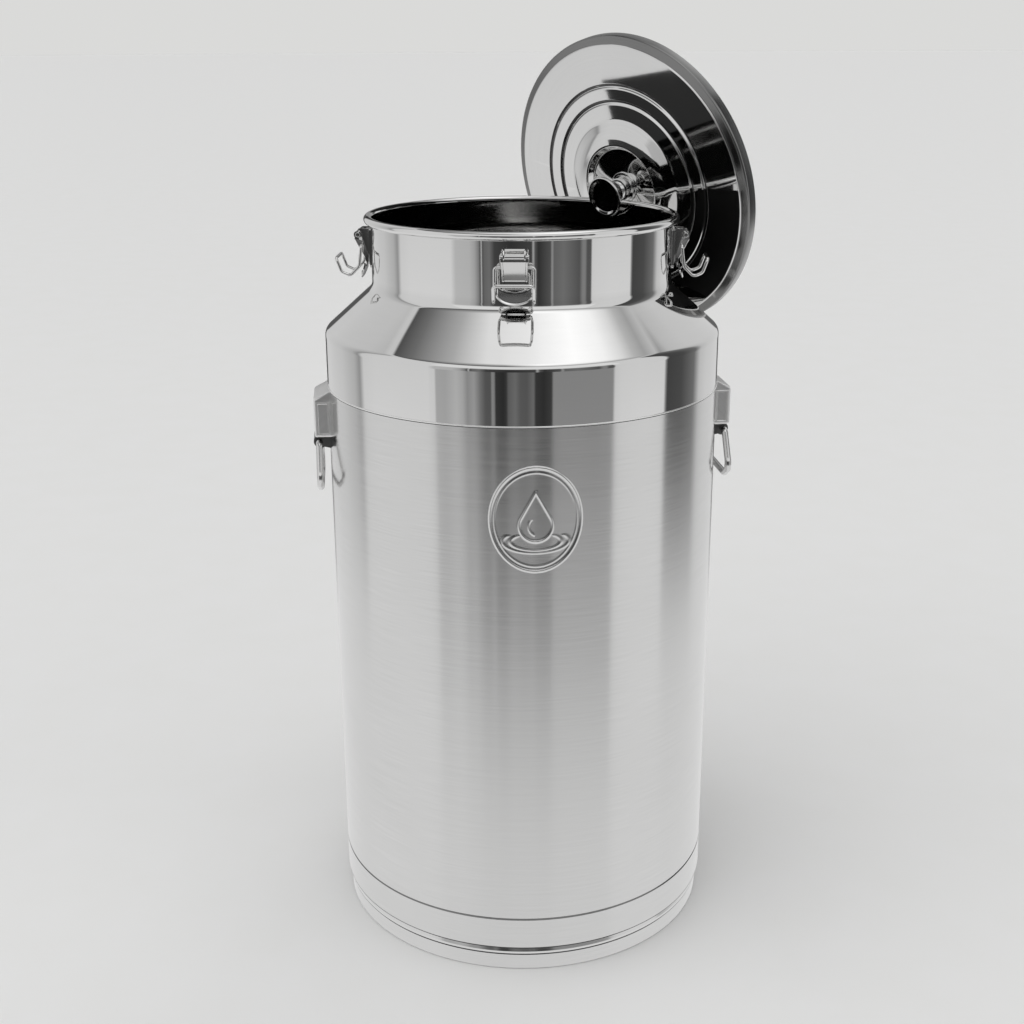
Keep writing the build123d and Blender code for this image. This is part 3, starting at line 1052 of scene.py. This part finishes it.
middle_stops = [
    (-54, 0.76), (-50.5, 0.75), (-49.5, 0.61), (-44, 0.6), (-37.3, 0.65), (-33.6, 0.61),
    (-30.8, 0.51), (-27, 0.56), (-23.3, 0.41), (-20.5, 0.31), (-17.4, 0.3), (-16.8, 0.49),
    (-15.4, 0.46), (-14.8, 0.19), (-10.3, 0.16), (-8.6, 0.2), (-7.6, 0.34), (-3.7, 0.39),
    (-0.9, 0.32), (2.8, 0.31), (6.5, 0.39), (7.6, 0.2), (12.1, 0.17), (16.6, 0.22), (17.6, 0.49),
    (52.6, 0.49), (54, 0.74), (58, 0.76),
]


def make_studio():
    """World with soft boxes and dark flags round the can, and a plain pale backdrop."""
    world = bpy.data.worlds.new("studio")
    bpy.context.scene.world = world
    world.use_nodes = True
    nodes = Nodes(world.node_tree)
    split = nodes.add("SeparateXYZ", {0: nodes.add("TexCoord").outputs["Generated"]}).outputs
    bearing = nodes.math("ARCTAN2", split[0], nodes.math("MULTIPLY", split[1], -1.0))
    bearing = nodes.math("MULTIPLY", bearing, 180 / math.pi)
    rise = nodes.math("MULTIPLY", nodes.math("ARCSINE", split[2]), 180 / math.pi)

    side = nodes.ramp(nodes.remap(bearing, -180, 180, 0, 1), levels(side_stops))
    ahead = nodes.remap(bearing, front_low, front_high, 0, 1)
    high = nodes.ramp(ahead, levels(high_stops, front_low, front_high))
    middle = nodes.ramp(ahead, levels(middle_stops, front_low, front_high))
    front = nodes.mix(nodes.remap(rise, -11.5, -11.1, 0, 1), middle, high)
    near_front = nodes.math(
        "MULTIPLY",
        nodes.math("GREATER_THAN", bearing, front_low),
        nodes.math("LESS_THAN", bearing, front_high),
    )
    walls = nodes.mix(near_front, side, front)
    raised = nodes.math("MULTIPLY", near_front, nodes.remap(rise, 12.0, 22.0, 0, 1))
    walls = nodes.mix(raised, walls, grey(0.82))

    away = nodes.math("ABSOLUTE", nodes.math("ADD", bearing, -2.0))
    fade_end = nodes.remap(away, 55, 75, -31.0, -23.0)
    below_start = nodes.math("ADD", rise, fade_start)
    fade_length = nodes.math("ADD", fade_end, fade_start)
    depth = nodes.math("DIVIDE", below_start, fade_length, clamp=True)
    fade = nodes.ramp(depth, [
        (0.0, 0.0), (0.09, 0.05), (0.165, 0.19), (0.3, 0.24), (0.43, 0.36), (0.59, 0.54),
        (0.715, 0.78), (0.81, 0.94), (0.905, 1.0), (1.0, 1.0),
    ])
    lower = nodes.mix(fade, walls, grey(0.79))

    left_roof = nodes.ramp(
        nodes.remap(rise, 40, 90, 0, 1),
        [(0.0, light(0.74)), (0.15, light(0.74)), (0.17, light(0.29)), (0.3, light(0.41)),
         (0.56, light(0.64)), (0.76, light(0.84)), (1.0, light(0.86))],
    )
    right_roof = nodes.ramp(
        nodes.remap(rise, 40, 90, 0, 1),
        [(0.0, light(0.84)), (0.12, light(0.7)), (0.2, light(0.6)), (0.28, light(0.68)),
         (0.36, light(0.82)), (0.48, light(0.93)), (0.66, light(0.98)), (1.0, light(0.86))],
    )
    roof = nodes.mix(nodes.remap(split[0], -0.12, 0.12, 0, 1), left_roof, right_roof)
    studio = nodes.mix(nodes.remap(rise, 44.0, 46.0, 0, 1), lower, roof)

    seen = nodes.add("LightPath").outputs["Is Camera Ray"]
    shown = nodes.mix(seen, studio, backdrop_colour)
    background = nodes.add("Background", {"Color": shown, "Strength": 1.0})
    nodes.add("OutputWorld", {"Surface": background.outputs[0]})


def make_floor():
    shape = bmesh.new()
    bmesh.ops.create_circle(shape, cap_ends=True, radius=60.0, segments=96)
    mesh = bpy.data.meshes.new("floor")
    shape.to_mesh(mesh)
    shape.free()
    floor = bpy.data.objects.new("floor", mesh)
    bpy.context.scene.collection.objects.link(floor)
    material = bpy.data.materials.new("floor")
    material.use_nodes = True
    nodes = Nodes(material.node_tree)
    coordinates = nodes.add("TexCoord").outputs["Object"]
    mottle = nodes.add("TexNoise", {"Vector": coordinates, "Scale": 14.0, "Detail": 4.0})
    shade = (floor_level, floor_level, floor_level * 0.985, 1)
    colour = nodes.mix(mottle.outputs[0], shade, (floor_level * 1.03,) * 3 + (1,))
    shader = nodes.add("BsdfPrincipled", {"Base Color": colour, "Roughness": 0.7})
    nodes.add("OutputMaterial", {"Surface": shader.outputs[0]})
    mesh.materials.append(material)
    floor.visible_glossy = False


def make_key_light():
    """Wide soft light from above, which the steel doesn't mirror."""
    data = bpy.data.lights.new("key", "SUN")
    data.angle = math.radians(60)
    data.energy = 0.9
    key = bpy.data.objects.new("key", data)
    key.rotation_euler = (math.radians(18), math.radians(-22), 0)
    key.visible_glossy = False
    bpy.context.scene.collection.objects.link(key)


mouth_card_height = 614
lid_card_height = 16


def make_card(name, corners):
    """Dark card that only mirrored rays meet."""
    shape = bmesh.new()
    shape.faces.new([shape.verts.new(Vector(corner) * MM) for corner in corners])
    mesh = bpy.data.meshes.new(name)
    shape.to_mesh(mesh)
    shape.free()
    card = bpy.data.objects.new(name, mesh)
    bpy.context.scene.collection.objects.link(card)
    material = bpy.data.materials.new(name)
    material.use_nodes = True
    nodes = Nodes(material.node_tree)
    shader = nodes.add("BsdfPrincipled", {"Base Color": (0.01, 0.01, 0.01, 1), "Roughness": 0.9})
    nodes.add("OutputMaterial", {"Surface": shader.outputs[0]})
    mesh.materials.append(material)
    card.visible_camera = False
    card.visible_diffuse = False
    card.visible_shadow = False
    return card


def make_cards():
    """Cards that darken the lid's right half at rest, seen from the front.

    One is over the mouth and the back left shoulder, and one is close to the lid. Both stay in
    place when the lid moves, and the shoulder mirrors them in some views.
    """
    over_mouth = [(30, -30), (-110, -30), (-125, 20), (-165, 95), (30, 95)]
    make_card("mouth_card", [(x, y, mouth_card_height) for x, y in over_mouth])
    near_lid = [(-8, 116), (-70, 100), (-112, 50), (-120, 0), (-70, 0), (-58, 40), (-20, 75)]
    lid_card = make_card("lid_card", [(x, y, lid_card_height) for x, y in near_lid])
    lid_card.matrix_world = lid_frame


camera_turns = (18.29, -0.43, 0.3)
camera_lens = 50.97
camera_place = (0, -1176.5, 734.5)


def make_camera():
    pitch, yaw, roll = (math.radians(turn) for turn in camera_turns)
    ahead = Vector((math.sin(yaw) * math.cos(pitch), math.cos(yaw) * math.cos(pitch), -math.sin(pitch)))
    right = Vector((math.cos(yaw), -math.sin(yaw), 0))
    up = right.cross(ahead)
    turned_right = right * math.cos(roll) - up * math.sin(roll)
    turned_up = up * math.cos(roll) + right * math.sin(roll)
    data = bpy.data.cameras.new("camera")
    data.lens = camera_lens
    data.sensor_width = 36
    data.clip_start = 0.01
    camera = bpy.data.objects.new("camera", data)
    place = Matrix((turned_right, turned_up, -ahead)).transposed().to_4x4()
    place.translation = Vector(camera_place) * MM
    camera.matrix_world = place
    bpy.context.scene.collection.objects.link(camera)
    bpy.context.scene.camera = camera


# ---- build --------------------------------------------------------------------------------
make_foot()
make_body()
make_shoulder_and_neck()
make_emblem()
for side, azimuth in handle_azimuths.items():
    make_handle(side, azimuth)
for side, azimuth in latch_azimuths.items():
    place = wall_place(azimuth)
    make_latch_base(side, place)
    make_lever(side, place)
    make_bail(side, place)
make_lid()
finish_cad_nodes()
make_studio()
make_floor()
make_key_light()
make_cards()
make_camera()
bpy.context.scene.view_settings.view_transform = "Standard"
